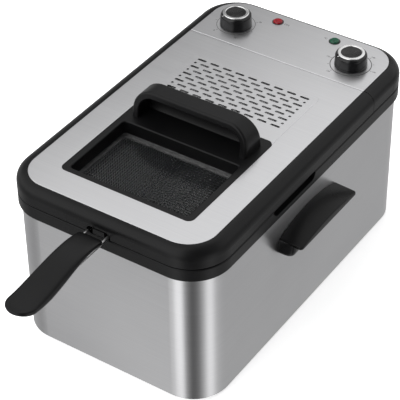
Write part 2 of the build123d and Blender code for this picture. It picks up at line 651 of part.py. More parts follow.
def make_filter_cover():
    """The slotted cover that holds both vent filters from below."""
    cover = slab(72.0, 12.0, 74.0, 4.0, UNDERSIDE_TOP, UNDERSIDE_TOP + 2.0)
    cover += slab(67.5, 16.5, 69.5, 3.0, UNDERSIDE_BOTTOM - 0.8, UNDERSIDE_TOP)
    for x in range(-56, 57, 14):
        cover -= Pos(x, 43, 180) * extrude(SlotOverall(44, 6, rotation=90), amount=20)
    return cover


save("lid_trim", make_lid_trim())
save("lid_panel", make_lid_panel())
save("window_frame", make_window_frame())
save("lid_handle", make_lid_handle())
save("lid_handle_screws", [pan_screw(x, y, 197, 14.0, 3.0, 1.5) for x, y in HANDLE_SCREW_PLACES])
save("window_glass", make_window_glass())
save("window_seal", make_window_seal())
save("lid_underside", make_lid_underside())
save("lid_gasket", make_lid_gasket())
save("grease_filter", slab(71.0, 12.0, 74.0, 4.0, 196.5, 199.5))
save("charcoal_filter", slab(70.5, 12.5, 73.5, 4.0, UNDERSIDE_TOP + 2.2, 196.3))
save("filter_cover", make_filter_cover())
save("lid_screws", [pan_screw(x, y, UNDERSIDE_BOTTOM, 12.0, 3.0, 1.5) for x, y in LID_SCREW_PLACES])


# ---- basket -----------------------------------------------------------------

RIM_WIRE_RADIUS = 2.2
FRAME_WIRE_RADIUS = 1.5
MESH_THICKNESS = 1.2
WIRE_FRONT_Y = BASKET_FRONT - 3.6


def basket_slab(inset, bottom, top, edge):
    """A slab that follows the basket's outside, moved inwards by inset."""
    corner = BASKET_CORNER - inset
    solid = slab(BASKET_HALF_WIDTH - inset, BASKET_FRONT + inset, BASKET_BACK - inset, corner, bottom, top)
    return fillet(solid.edges().group_by(Axis.Z)[0], edge)


def make_basket_mesh():
    """The woven basket as one thin wall, open at the top."""
    outside = basket_slab(0, BASKET_FLOOR, BASKET_TOP, 10.0)
    return outside - basket_slab(MESH_THICKNESS, BASKET_FLOOR + MESH_THICKNESS, TOP, 8.8)


def make_rim_wire():
    """The thick wire that the mesh is rolled over."""
    inset = 0.6
    centre_z = BASKET_TOP + RIM_WIRE_RADIUS
    width = 2 * (BASKET_HALF_WIDTH - inset)
    length = BASKET_BACK - BASKET_FRONT - 2 * inset
    outline = RectangleRounded(width, length, BASKET_CORNER - inset).wire()
    path = Pos(0, (BASKET_FRONT + BASKET_BACK) / 2, centre_z) * outline
    section = Plane(origin=path @ 0, z_dir=path % 0) * Circle(RIM_WIRE_RADIUS)
    return sweep(section, path=path)


def make_frame_wire(x):
    """A support wire down the front, under the floor and up the back."""
    front = BASKET_FRONT - FRAME_WIRE_RADIUS
    back = BASKET_BACK + FRAME_WIRE_RADIUS
    low = BASKET_FLOOR - FRAME_WIRE_RADIUS
    points = [(x, front, BASKET_TOP), (x, front, low), (x, back, low), (x, back, BASKET_TOP)]
    return bent_rod(points, 10.0 + FRAME_WIRE_RADIUS, FRAME_WIRE_RADIUS)


def make_handle_wire():
    """One of the two wires from the basket's front wall into the grip."""
    points = [(WIRE_X, GRIP_BACK - 45, WIRE_HEIGHT), (WIRE_X, WIRE_FRONT_Y, WIRE_HEIGHT), (WIRE_X, WIRE_FRONT_Y, 112)]
    return bent_rod(points, 8.0, WIRE_RADIUS)


def make_basket_grip():
    """The moulded handle: flat on top with a dished thumb rest, deepest at mid length."""
    top = Spline((GRIP_BACK, 189.0), (-250, 193.0), (-290, 188.0), (-318, 184.5), (GRIP_FRONT, 185.5))
    nose = Line((GRIP_FRONT, 185.5), (GRIP_FRONT, 179.0))
    belly = Spline((GRIP_FRONT, 179.0), (-320, 172.5), (-298, 171.0), (-262, 178.0), (GRIP_BACK, 180.0))
    heel = Line((GRIP_BACK, 180.0), (GRIP_BACK, 189.0))
    side = prism_x(make_face([top, nose, belly, heel]), -30, 30)
    left = Spline((-14.5, GRIP_BACK), (-14.8, -250), (-16.5, -300), (-16.5, GRIP_FRONT + 16.5))
    tip = ThreePointArc((-16.5, GRIP_FRONT + 16.5), (0, GRIP_FRONT), (16.5, GRIP_FRONT + 16.5))
    right = Spline((16.5, GRIP_FRONT + 16.5), (16.5, -300), (14.8, -250), (14.5, GRIP_BACK))
    plan = make_face([left, tip, right, Line((14.5, GRIP_BACK), (-14.5, GRIP_BACK))])
    grip = side & Pos(0, 0, 150) * extrude(plan, amount=60)
    for x in (-WIRE_X, WIRE_X):
        grip -= rod_y(x, GRIP_BACK - 45, GRIP_BACK + 5, WIRE_HEIGHT, WIRE_RADIUS)
    grip -= rod(0, -240, 150, 183.4, 3.2)
    return grip - rod(0, -240, 183, 188.2, 1.5)


save("basket_mesh", make_basket_mesh())
save("basket_rim_wire", make_rim_wire())
save("basket_frame_wires", [make_frame_wire(x) for x in (-45, 45)])
save("basket_handle_wires", both_sides(make_handle_wire()))
save("basket_bracket", block(-17, 17, WIRE_FRONT_Y + WIRE_RADIUS, BASKET_FRONT, 118, 150))
save("basket_handle", make_basket_grip())
save("basket_handle_screw", pan_screw(0, -240, 183.4, 4.6, 3.0, 1.5))
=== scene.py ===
import bpy
import numpy as np
from mathutils import Matrix, Vector


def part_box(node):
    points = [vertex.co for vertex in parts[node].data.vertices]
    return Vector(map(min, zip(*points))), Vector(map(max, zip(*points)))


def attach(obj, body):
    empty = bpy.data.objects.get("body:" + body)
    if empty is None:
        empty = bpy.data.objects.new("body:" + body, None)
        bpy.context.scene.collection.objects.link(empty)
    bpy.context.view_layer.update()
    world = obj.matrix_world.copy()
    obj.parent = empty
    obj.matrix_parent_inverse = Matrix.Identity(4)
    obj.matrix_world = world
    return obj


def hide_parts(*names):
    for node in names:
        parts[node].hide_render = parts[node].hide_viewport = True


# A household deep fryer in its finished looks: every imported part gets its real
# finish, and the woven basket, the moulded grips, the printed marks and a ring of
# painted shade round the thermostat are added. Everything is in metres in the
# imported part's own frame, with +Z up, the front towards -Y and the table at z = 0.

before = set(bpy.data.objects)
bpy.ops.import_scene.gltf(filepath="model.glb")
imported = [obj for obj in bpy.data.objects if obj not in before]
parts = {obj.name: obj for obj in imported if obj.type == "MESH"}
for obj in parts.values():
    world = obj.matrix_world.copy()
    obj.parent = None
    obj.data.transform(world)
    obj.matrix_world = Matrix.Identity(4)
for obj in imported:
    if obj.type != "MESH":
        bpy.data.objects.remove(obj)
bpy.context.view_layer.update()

MM = 0.001
TURN = 2 * np.pi
DEGREE = TURN / 360


# ---- finishes ---------------------------------------------------------------


class Finish:
    """One material, with short ways to add the patterns that its surface shows."""

    def __init__(self, name, colour, roughness, metallic=0.0, **sockets):
        self.material = bpy.data.materials.new(name)
        self.material.use_nodes = True
        self.tree = self.material.node_tree
        self.shader = self.tree.nodes["Principled BSDF"]
        self.shader.inputs["Base Color"].default_value = (*colour, 1.0)
        self.shader.inputs["Roughness"].default_value = roughness
        self.shader.inputs["Metallic"].default_value = metallic
        for socket, value in sockets.items():
            self.shader.inputs[socket.replace("_", " ")].default_value = value

    def node(self, kind, **settings):
        """A new node of a kind with its settings."""
        made = self.tree.nodes.new(kind)
        for setting, value in settings.items():
            setattr(made, setting, value)
        return made

    def link(self, output, socket):
        """A wire from an output to a socket."""
        self.tree.links.new(output, socket)

    def place(self, stretch, turn=(0, 0, 0)):
        """The piece's own coordinates, turned and then multiplied by stretch (periods per metre)."""
        source = self.node("ShaderNodeTexCoord")
        mapping = self.node("ShaderNodeMapping")
        mapping.inputs["Scale"].default_value = stretch
        mapping.inputs["Rotation"].default_value = turn
        self.link(source.outputs["Object"], mapping.inputs["Vector"])
        return mapping.outputs["Vector"]

    def mottle(self, stretch, detail=2.0, low=0.32, high=0.68):
        """Soft random variation from 0 to 1, with features of one period."""
        noise = self.node("ShaderNodeTexNoise")
        noise.inputs["Scale"].default_value = 1.0
        noise.inputs["Detail"].default_value = detail
        self.link(self.place(stretch), noise.inputs["Vector"])
        return self.spread(noise.outputs["Fac"], low, high, 0.0, 1.0)

    def spread(self, value, from_low, from_high, to_low, to_high):
        """A value moved from one range to another, and held at its ends."""
        ranger = self.node("ShaderNodeMapRange")
        self.link(value, ranger.inputs["Value"])
        limits = (from_low, from_high, to_low, to_high)
        for socket, limit in zip(("From Min", "From Max", "To Min", "To Max"), limits):
            ranger.inputs[socket].default_value = limit
        return ranger.outputs["Result"]

    def join(self, first, second, share):
        """Two values added, the second multiplied by its share."""
        adder = self.node("ShaderNodeMath", operation="MULTIPLY_ADD")
        self.link(second, adder.inputs[0])
        adder.inputs[1].default_value = share
        self.link(first, adder.inputs[2])
        return adder.outputs["Value"]

    def colours(self, value, dark, light):
        """Base colour that goes from dark to light with a value."""
        mixer = self.node("ShaderNodeMix", data_type="RGBA")
        mixer.inputs[6].default_value = (*dark, 1.0)
        mixer.inputs[7].default_value = (*light, 1.0)
        self.link(value, mixer.inputs["Factor"])
        self.link(mixer.outputs[2], self.shader.inputs["Base Color"])

    def roughness(self, value, low, high):
        """Roughness that goes from low to high with a value."""
        self.link(self.spread(value, 0.0, 1.0, low, high), self.shader.inputs["Roughness"])

    def relief(self, height, depth, strength=1.0):
        """Bump from a height, with its full depth in metres."""
        bump = self.node("ShaderNodeBump")
        bump.inputs["Distance"].default_value = depth
        bump.inputs["Strength"].default_value = strength
        self.link(height, bump.inputs["Height"])
        self.link(bump.outputs["Normal"], self.shader.inputs["Normal"])

    def grain_direction(self, axis):
        """Brushing that runs round an axis, for the stretched highlight."""
        tangent = self.node("ShaderNodeTangent", direction_type="RADIAL", axis=axis)
        self.link(tangent.outputs["Tangent"], self.shader.inputs["Tangent"])


def grey(level, blue=1.0):
    """A grey colour, a little blue when blue is above 1."""
    return (level, level, level * blue)


def brushed_steel(name, grain, level, shine, axis="Z"):
    """Stainless sheet: fine scratches along the grain over slow changes of tone."""
    finish = Finish(name, grey(level), shine, 1.0, Anisotropic=0.7, Anisotropic_Rotation=0.25)
    scratches = finish.mottle(grain, 3.0)
    clouds = finish.mottle((9, 9, 9), 2.0)
    tone = finish.join(scratches, clouds, 0.7)
    shade = finish.spread(tone, 0.2, 1.5, 0.0, 1.0)
    finish.colours(shade, grey(level * 0.955, 1.02), grey(level * 1.04, 1.015))
    finish.roughness(scratches, shine - 0.02, shine + 0.03)
    finish.relief(scratches, 0.00001, 0.2)
    finish.grain_direction(axis)
    return finish.material


def plain_steel(name, level, shine):
    """Rolled stainless sheet inside the fryer, with faint cloudy handling marks."""
    finish = Finish(name, grey(level), shine, 1.0)
    clouds = finish.mottle((22, 22, 22), 3.0)
    specks = finish.mottle((700, 700, 700), 1.0)
    finish.colours(clouds, grey(level * 0.86), grey(level * 1.08))
    finish.roughness(clouds, shine - 0.06, shine + 0.1)
    finish.relief(specks, 0.00002, 0.3)
    return finish.material


def wire_metal(name, level, shine):
    """Bright plated wire and small metal, a little duller in patches."""
    finish = Finish(name, grey(level), shine, 1.0)
    patches = finish.mottle((60, 60, 60), 2.0)
    drawing = finish.mottle((1400, 1400, 1400), 1.0)
    finish.colours(patches, grey(level * 0.84), grey(level * 1.04))
    finish.roughness(patches, shine - 0.05, shine + 0.12)
    finish.relief(drawing, 0.00001, 0.3)
    return finish.material


def moulded_plastic(name, level, shine, texture=0.00004, grain_size=0.0008, blue=1.06):
    """Moulded plastic: a fine spark-eroded texture and slow changes of shine."""
    finish = Finish(name, grey(level, blue), shine, Specular_IOR_Level=0.17)
    pebbles = finish.mottle((1 / grain_size,) * 3, 2.0)
    flow = finish.mottle((14, 14, 14), 2.0)
    finish.colours(finish.join(flow, pebbles, 0.4), grey(level * 0.8, blue), grey(level * 1.3, blue))
    finish.roughness(flow, shine - 0.04, shine + 0.05)
    finish.relief(pebbles, texture, 0.6)
    return finish.material


def polished_plastic(name, colour, shine):
    """Gloss moulding with faint waviness and a few dull patches."""
    finish = Finish(name, colour, shine, Specular_IOR_Level=0.35)
    waves = finish.mottle((90, 90, 90), 1.0)
    dust = finish.mottle((900, 900, 900), 2.0, 0.55, 0.8)
    light = tuple(c * 1.25 + 0.001 for c in colour)
    finish.colours(finish.join(waves, dust, 0.6), tuple(c * 0.85 for c in colour), light)
    finish.roughness(dust, shine, shine + 0.14)
    finish.relief(waves, 0.00003, 0.25)
    return finish.material


def turned_cap(name, level, shine, centres):
    """Knob caps with fine turning rings round each knob's middle."""
    finish = Finish(name, grey(level), shine, Specular_IOR_Level=0.35)
    rings = []
    for centre in centres:
        source = finish.node("ShaderNodeTexCoord")
        shift = finish.node("ShaderNodeMapping")
        shift.inputs["Location"].default_value = (-centre.x, -centre.y, 0)
        shift.inputs["Scale"].default_value = (1, 1, 0)
        distance = finish.node("ShaderNodeVectorMath", operation="LENGTH")
        finish.link(source.outputs["Object"], shift.inputs["Vector"])
        finish.link(shift.outputs["Vector"], distance.inputs[0])
        rings.append(distance.outputs["Value"])
    nearest = finish.node("ShaderNodeMath", operation="MINIMUM")
    finish.link(rings[0], nearest.inputs[0])
    finish.link(rings[1], nearest.inputs[1])
    wave = finish.node("ShaderNodeMath", operation="SINE")
    turns = finish.spread(nearest.outputs["Value"], 0.0, 0.02, 0.0, 0.02 / 0.0005 * TURN)
    finish.link(turns, wave.inputs[0])
    groove = finish.spread(wave.outputs["Value"], -1.0, 1.0, 0.0, 1.0)
    finish.colours(groove, grey(level * 0.75), grey(level * 1.4))
    finish.roughness(groove, shine - 0.04, shine + 0.08)
    finish.relief(groove, 0.00004, 0.5)
    return finish.material


def baked_coating(name, level, shine):
    """The pot's dark baked coating: slight orange peel and pale specks."""
    finish = Finish(name, grey(level), shine, Coat_Weight=0.4, Coat_Roughness=0.15)
    peel = finish.mottle((420, 420, 420), 2.0)
    specks = finish.mottle((1500, 1500, 1500), 1.0, 0.62, 0.72)
    finish.colours(specks, grey(level), grey(level * 2.6))
    finish.roughness(peel, shine - 0.05, shine + 0.08)
    finish.relief(peel, 0.00005, 0.4)
    return finish.material


def heated_tube(name, level, shine):
    """The element's oxidised tube: blotches from straw to dark grey."""
    finish = Finish(name, grey(level), shine, 1.0)
    blotches = finish.mottle((70, 70, 70), 4.0)
    scale = finish.mottle((1100, 1100, 1100), 2.0)
    soot = (level * 0.7, level * 0.68, level * 0.68)
    straw = (level * 1.5, level * 1.3, level * 1.1)
    finish.colours(blotches, soot, straw)
    finish.roughness(scale, shine - 0.08, shine + 0.12)
    finish.relief(scale, 0.00005, 0.5)
    return finish.material


def soft_rubber(name, level):
    """Matt rubber or silicone with a dry, slightly dusty surface."""
    finish = Finish(name, grey(level), 0.75)
    dust = finish.mottle((160, 160, 160), 4.0)
    pores = finish.mottle((1300, 1300, 1300), 2.0)
    finish.colours(dust, grey(level * 0.8), grey(level * 1.35))
    finish.roughness(dust, 0.68, 0.88)
    finish.relief(pores, 0.00006, 0.6)
    return finish.material


def filter_weave(name, level, metallic, size):
    """Filter pads: crossed strands with dark gaps, from two sets of waves."""
    finish = Finish(name, grey(level), 0.5, metallic)
    strands = []
    for direction in ("X", "Y"):
        wave = finish.node("ShaderNodeTexWave", wave_type="BANDS", bands_direction=direction)
        wave.inputs["Scale"].default_value = 0.3142
        wave.inputs["Distortion"].default_value = 1.5
        wave.inputs["Detail Scale"].default_value = 0.4
        finish.link(finish.place((1 / size,) * 3, (0, 0, 45 * DEGREE)), wave.inputs["Vector"])
        strands.append(wave.outputs["Fac"])
    crossing = finish.node("ShaderNodeMath", operation="MAXIMUM")
    finish.link(strands[0], crossing.inputs[0])
    finish.link(strands[1], crossing.inputs[1])
    height = crossing.outputs["Value"]
    finish.colours(height, grey(level * 0.15), grey(level * 1.1))
    finish.roughness(height, 0.6, 0.4)
    finish.relief(height, 0.0005, 0.8)
    return finish.material


def window_pane(name):
    """Toughened glass as a thin dark film that lets most light through."""
    finish = Finish(name, (0.03, 0.032, 0.034), 0.04, Alpha=0.16, IOR=1.5)
    finish.material.surface_render_method = "BLENDED"
    smears = finish.mottle((30, 30, 30), 3.0)
    finish.colours(smears, (0.025, 0.027, 0.028), (0.05, 0.052, 0.054))
    finish.roughness(smears, 0.02, 0.09)
    return finish.material


def lamp_lens(name, colour, glow):
    """A clear coloured lens: fine facets, and a little light of its own."""
    finish = Finish(name, colour, 0.12, Specular_IOR_Level=0.4, Emission_Strength=glow)
    finish.shader.inputs["Emission Color"].default_value = (*colour, 1.0)
    cells = finish.node("ShaderNodeTexVoronoi", feature="F1")
    cells.inputs["Scale"].default_value = 1.0
    finish.link(finish.place((900, 900, 900)), cells.inputs["Vector"])
    facets = finish.spread(cells.outputs["Distance"], 0.0, 0.8, 0.0, 1.0)
    finish.colours(facets, tuple(c * 1.3 for c in colour), tuple(c * 0.45 for c in colour))
    finish.roughness(facets, 0.08, 0.22)
    finish.relief(facets, 0.0001, 0.3)
    return finish.material


def turned_brass(name):
    """Turned brass: fine rings along the shaft."""
    finish = Finish(name, (0.7, 0.52, 0.24), 0.25, 1.0)
    rings = finish.mottle((20, 20, 2500), 1.0)
    finish.colours(rings, (0.58, 0.42, 0.18), (0.78, 0.6, 0.3))
    finish.roughness(rings, 0.2, 0.38)
    finish.relief(rings, 0.00002, 0.4)
    return finish.material


def printed_ink(name, level):
    """Baked dark ink of the printed marks, slightly uneven."""
    finish = Finish(name, grey(level), 0.5)
    patches = finish.mottle((600, 600, 600), 2.0)
    finish.colours(patches, grey(level * 0.8), grey(level * 1.3))
    finish.roughness(patches, 0.42, 0.6)
    return finish.material


def middle(*part_names):
    """The middle of a part's box."""
    low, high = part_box(*part_names)
    return (low + high) / 2


housing_middle = middle("body_shell")
timer_middle = middle("timer_knob")
thermostat_middle = middle("thermostat_knob")

finishes = {
    "housing_steel": brushed_steel("housing_steel_brushed", (6, 6, 1500), 0.6, 0.3),
    "lid_steel": brushed_steel("lid_steel_brushed", (6, 1500, 1500), 0.62, 0.3, "Y"),
    "inner_steel": plain_steel("inner_steel_rolled", 0.5, 0.34),
    "pot_enamel": baked_coating("pot_coating", 0.022, 0.24),
    "basket_wire": wire_metal("basket_wire_plated", 0.62, 0.24),
    "element_tube": heated_tube("element_tube_oxidised", 0.16, 0.42),
    "screw_zinc": wire_metal("screw_zinc_plated", 0.52, 0.32),
    "black_satin": moulded_plastic("lid_trim_satin", 0.004, 0.3),
    "frame_black": moulded_plastic("window_frame_satin", 0.0045, 0.34),
    "grip_black": moulded_plastic("grip_satin", 0.004, 0.3),
    "inner_plastic": moulded_plastic("inner_moulding", 0.03, 0.55, blue=1.0),
    "knob_gloss": polished_plastic("knob_gloss_black", (0.003, 0.003, 0.0034), 0.14),
    "knob_cap": turned_cap("knob_cap_turned", 0.006, 0.22, (timer_middle, thermostat_middle)),
    "knob_chrome": wire_metal("knob_ring_chrome", 0.8, 0.16),
    "rubber_black": soft_rubber("foot_rubber", 0.02),
    "silicone_grey": soft_rubber("seal_silicone", 0.16),
    "window_glass": window_pane("window_glass_dark"),
    "lens_red": lamp_lens("lens_red_clear", (0.3, 0.004, 0.012), 0.05),
    "lens_green": lamp_lens("lens_green_clear", (0.0, 0.075, 0.035), 0.03),
    "filter_mesh": filter_weave("grease_filter_mesh", 0.55, 1.0, 0.0022),
    "filter_charcoal": filter_weave("charcoal_filter_foam", 0.03, 0.0, 0.0016),
    "shaft_brass": turned_brass("shaft_brass_turned"),
    "mechanism_metal": plain_steel("mechanism_case", 0.36, 0.45),
    "button_red": polished_plastic("reset_button_red", (0.32, 0.012, 0.012), 0.25),
}
# The dark ink also paints the thermostat's wide dial ring, which is painted shade of the knob seat's edge.
ink_and_seat_shade = printed_ink("dial_ink_and_seat_shade", 0.03)
pale_ink = printed_ink("pointer_ink_pale", 0.6)
mesh_wire = wire_metal("basket_mesh_plated", 0.8, 0.5)

for part in parts.values():
    for material_slot in part.material_slots:
        material_slot.material = finishes[material_slot.name]


# ---- mesh building ----------------------------------------------------------


def add_piece(name, points, faces, finish, body, slot):
    """A smooth mesh piece from points and faces, riding on a body."""
    mesh = bpy.data.meshes.new(name)
    mesh.from_pydata(points.reshape(-1, 3).tolist(), [], faces)
    mesh.polygons.foreach_set("use_smooth", np.ones(len(mesh.polygons), bool))
    mesh.materials.append(finish)
    mesh.update()
    piece = bpy.data.objects.new(name, mesh)
    bpy.context.scene.collection.objects.link(piece)
    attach(piece, body)
    return piece


def grid_faces(rows, columns, rows_closed=False):
    """Quads of a grid whose columns run round a closed section."""
    index = np.arange(rows * columns).reshape(rows, columns)
    if rows_closed:
        index = np.vstack([index, index[:1]])
    index = np.hstack([index, index[:, :1]])
    corners = (index[:-1, :-1], index[:-1, 1:], index[1:, 1:], index[1:, :-1])
    return np.stack(corners, -1).reshape(-1, 4)


def capped_faces(rows, columns):
    """Quads round each section from the first row to the last, and one face over each end."""
    start = list(range(columns - 1, -1, -1))
    end = list(range((rows - 1) * columns, rows * columns))
    return grid_faces(rows, columns).tolist() + [start, end]


def unit(vectors):
    """The same directions with length 1."""
    return vectors / np.linalg.norm(vectors, axis=-1, keepdims=True)


def wires(paths, normals, radius, closed=False, sides=4):
    """Points and faces of many round wires: a section turned round each path's tangent.

    The section's first point lies along the sheet's normal, and the others
    follow round the circle, from normal to side = tangent x normal.
    """
    count, length = paths.shape[:2]
    if closed:
        tangents = np.roll(paths, -1, 1) - np.roll(paths, 1, 1)
    else:
        tangents = np.gradient(paths, axis=1)
    across = unit(np.cross(unit(tangents), normals))
    angle = np.arange(sides) / sides * TURN
    turned = normals[:, :, None] * np.cos(angle)[:, None] + across[:, :, None] * np.sin(angle)[:, None]
    points = paths[:, :, None] + radius * turned
    if closed:
        one = grid_faces(length, sides, True)[:, ::-1].tolist()
    else:
        one = [face[::-1] for face in capped_faces(length, sides)]
    step = length * sides
    faces = [[corner + step * wire for corner in face] for wire in range(count) for face in one]
    return points, faces


def rounded_quads(corners, radius, steps):
    """Closed sections with round corners, one for each row of four corner points.

    The radius is one length, or one for each corner.

    Each corner is a curve from a point one radius before it to a point one
    radius after it, pulled towards the corner itself.
    """
    before = unit(np.roll(corners, 1, 1) - corners)
    after = unit(np.roll(corners, -1, 1) - corners)
    share = np.linspace(0, 1, steps)[None, None, :, None]
    first = corners + before * radius
    last = corners + after * radius
    curve = (1 - share) ** 2 * first[:, :, None] + 2 * share * (1 - share) * corners[:, :, None]
    curve = curve + share**2 * last[:, :, None]
    return curve.reshape(len(corners), -1, corners.shape[-1])


# ---- woven basket -----------------------------------------------------------

MESH_SPACING = 4 * MM
MESH_WIRE_RADIUS = 0.45 * MM
BASKET_CORNER = 24 * MM
BASKET_FLOOR_ROUND = 10 * MM
SAMPLES_PER_CROSSING = 2

basket_low, basket_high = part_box("basket_mesh")


def outline(distances, inset):
    """Points and outward directions along the basket's plan, a rectangle with round corners.

    The middle of the corner arc moves along an inner rectangle on the straight
    stretches, and the outward direction turns a quarter at each corner.
    """
    long_side = basket_high.y - basket_low.y - 2 * BASKET_CORNER
    short_side = basket_high.x - basket_low.x - 2 * BASKET_CORNER
    quarter = BASKET_CORNER * TURN / 4
    stretches = [long_side, quarter, short_side, quarter] * 2
    breaks = np.concatenate([[0], np.cumsum(stretches)])
    direction = np.interp(distances, breaks, np.repeat(np.arange(5), 2)[:9] * TURN / 4)
    right = basket_high.x - BASKET_CORNER
    left = basket_low.x + BASKET_CORNER
    front = basket_low.y + BASKET_CORNER
    back = basket_high.y - BASKET_CORNER
    middle_x = np.interp(distances, breaks, [right, right, right, left, left, left, left, right, right])
    middle_y = np.interp(distances, breaks, [front, back, back, back, back, front, front, front, front])
    outward = np.stack([np.cos(direction), np.sin(direction)], -1)
    reach = (BASKET_CORNER - inset)[..., None]
    return np.stack([middle_x, middle_y], -1) + reach * outward, outward


def outline_length():
    """Length round the basket's plan."""
    straight = 2 * (basket_high.x - basket_low.x + basket_high.y - basket_low.y)
    return straight - 8 * BASKET_CORNER + TURN * BASKET_CORNER


def wall_sheet(around, down):
    """Points and outward normals of the wall: straight down, then a quarter round to the floor."""
    straight = basket_high.z - basket_low.z - BASKET_FLOOR_ROUND
    lean = np.clip((down - straight) / BASKET_FLOOR_ROUND, 0, TURN / 4)
    plan, outward = outline(around, BASKET_FLOOR_ROUND * (1 - np.cos(lean)))
    height = basket_high.z - np.minimum(down, straight) - BASKET_FLOOR_ROUND * np.sin(lean)
    points = np.concatenate([plan, height[..., None]], -1)
    normals = np.concatenate([outward * np.cos(lean)[..., None], -np.sin(lean)[..., None]], -1)
    return points - normals * 2 * MESH_WIRE_RADIUS, normals


def woven(points, normals, along, line):
    """A wire's line moved over and under the ones it crosses, by a cosine of its length."""
    phase = np.pi * (along / MESH_SPACING + line)
    return points + normals * (MESH_WIRE_RADIUS * np.cos(phase))[..., None]


def make_wall_mesh():
    """The woven wall: upright wires and rings that cross them, two samples to a crossing."""
    uprights = 2 * round(outline_length() / MESH_SPACING / 2)
    pitch = outline_length() / uprights
    depth = basket_high.z - basket_low.z - BASKET_FLOOR_ROUND + BASKET_FLOOR_ROUND * TURN / 4
    rings = int(depth / MESH_SPACING)
    line = np.arange(uprights)[:, None]
    down = np.arange(rings * SAMPLES_PER_CROSSING + 1)[None, :] * MESH_SPACING / SAMPLES_PER_CROSSING
    points, normals = wall_sheet(*np.broadcast_arrays(line * pitch, down))
    upright_points, upright_faces = wires(woven(points, normals, down, line), normals, MESH_WIRE_RADIUS)
    ring = np.arange(1, rings + 1)[:, None]
    around = np.arange(uprights * SAMPLES_PER_CROSSING)[None, :] * pitch / SAMPLES_PER_CROSSING
    points, normals = wall_sheet(*np.broadcast_arrays(around, ring * MESH_SPACING))
    ring_line = woven(points, normals, around / pitch * MESH_SPACING, ring + 1)
    ring_points, ring_faces = wires(ring_line, normals, MESH_WIRE_RADIUS, closed=True)
    first = upright_points.reshape(-1, 3)
    second = ring_points.reshape(-1, 3)
    faces = upright_faces + [[corner + len(first) for corner in face] for face in ring_faces]
    return np.concatenate([first, second]), faces


def floor_wires(along_x):
    """Straight woven wires over the floor in one direction, each as long as the round corners leave."""
    inner = BASKET_CORNER - BASKET_FLOOR_ROUND
    reach_x = (basket_high.x - basket_low.x) / 2 - BASKET_FLOOR_ROUND
    reach_y = (basket_high.y - basket_low.y) / 2 - BASKET_FLOOR_ROUND
    run, cross = (reach_x, reach_y) if along_x else (reach_y, reach_x)
    lines = np.arange(-int(cross / MESH_SPACING), int(cross / MESH_SPACING) + 1)
    place = lines * MESH_SPACING
    beyond = np.clip(np.abs(place) - (cross - inner), 0, inner * 0.999)
    half = run - inner + np.sqrt(inner**2 - beyond**2)
    samples = 2 * SAMPLES_PER_CROSSING * int(run / MESH_SPACING) + 1
    along = half[:, None] * np.linspace(-1, 1, samples)[None, :]
    place = np.broadcast_to(place[:, None], along.shape)
    level = np.full(along.shape, basket_low.z + 2 * MESH_WIRE_RADIUS)
    middle_y = (basket_low.y + basket_high.y) / 2
    if along_x:
        points = np.stack([along, place + middle_y, level], -1)
    else:
        points = np.stack([place, along + middle_y, level], -1)
    normals = np.broadcast_to(np.array([0.0, 0.0, 1.0]), points.shape)
    return wires(woven(points, normals, along, lines[:, None] + along_x), normals, MESH_WIRE_RADIUS)


def make_floor_mesh():
    """The woven floor: wires across and along it."""
    across_points, across_faces = floor_wires(True)
    along_points, along_faces = floor_wires(False)
    first = across_points.reshape(-1, 3)
    faces = across_faces + [[corner + len(first) for corner in face] for face in along_faces]
    return np.concatenate([first, along_points.reshape(-1, 3)]), faces


def make_floor_ring():
    """The wire that joins wall and floor: a round section along the floor's outline."""
    around = np.arange(240) / 240 * outline_length()
    plan, outward = outline(around, np.full(240, BASKET_FLOOR_ROUND))
    points = np.column_stack([plan, np.full(240, basket_low.z + 2 * MESH_WIRE_RADIUS)])
    normals = np.column_stack([outward, np.zeros(240)])
    return wires(points[None], normals[None], 2 * MESH_WIRE_RADIUS, closed=True, sides=8)


wall_mesh = add_piece("basket_wall_mesh", *make_wall_mesh(), mesh_wire, "basket", "basket_wire")
add_piece("basket_floor_mesh", *make_floor_mesh(), mesh_wire, "basket", "basket_wire")
add_piece("basket_floor_ring", *make_floor_ring(), finishes["basket_wire"], "basket", "basket_wire")
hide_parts("basket_mesh")


# ---- basket handle ----------------------------------------------------------

HANDLE_ROWS = 90
HANDLE_SIDES = 72
GRIP_TIP = 16.5 * MM
FLAT_TOP = 6.0
ROUND_BELLY = 2.3

handle_low, handle_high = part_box("basket_handle")


def through(lengths, values):
    """The smooth curve of lowest degree through a few given values."""
    return np.poly1d(np.polyfit(lengths, values, len(lengths) - 1))


